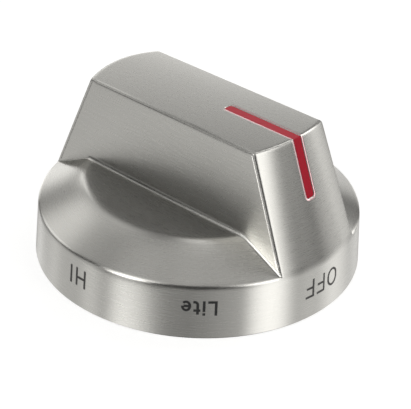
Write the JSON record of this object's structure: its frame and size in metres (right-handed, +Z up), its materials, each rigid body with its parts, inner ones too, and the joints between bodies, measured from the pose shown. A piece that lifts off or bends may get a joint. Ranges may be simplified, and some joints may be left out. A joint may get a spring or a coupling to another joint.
{
  "type": "range control knob",
  "caption": "Brushed metal burner control knob: round skirt, bevelled shoulders, tapering bar grip with a red pointer, and a nylon hub bored for a D-shaped stem.",
  "frame": {"origin": "centre of the base, in the plane of the skirt's lower edge", "axes": "+Z up along the stem's axis, towards the grip; +X along the grip, towards its pointer end"},
  "size_m": [0.0612, 0.0612, 0.0314],
  "materials": {
    "brushed_casting": "brushed",
    "red_inlay": "gloss",
    "black_nylon": "moulded",
    "spring_steel": "plain",
    "screw_steel": "zinc plated"
  },
  "bodies": {
    "root": {"knob_shell": "brushed_casting", "pointer_inlay": "red_inlay", "hub_insert": "black_nylon", "stem_band": "spring_steel", "insert_screws": "screw_steel"}
  },
  "joints": []
}
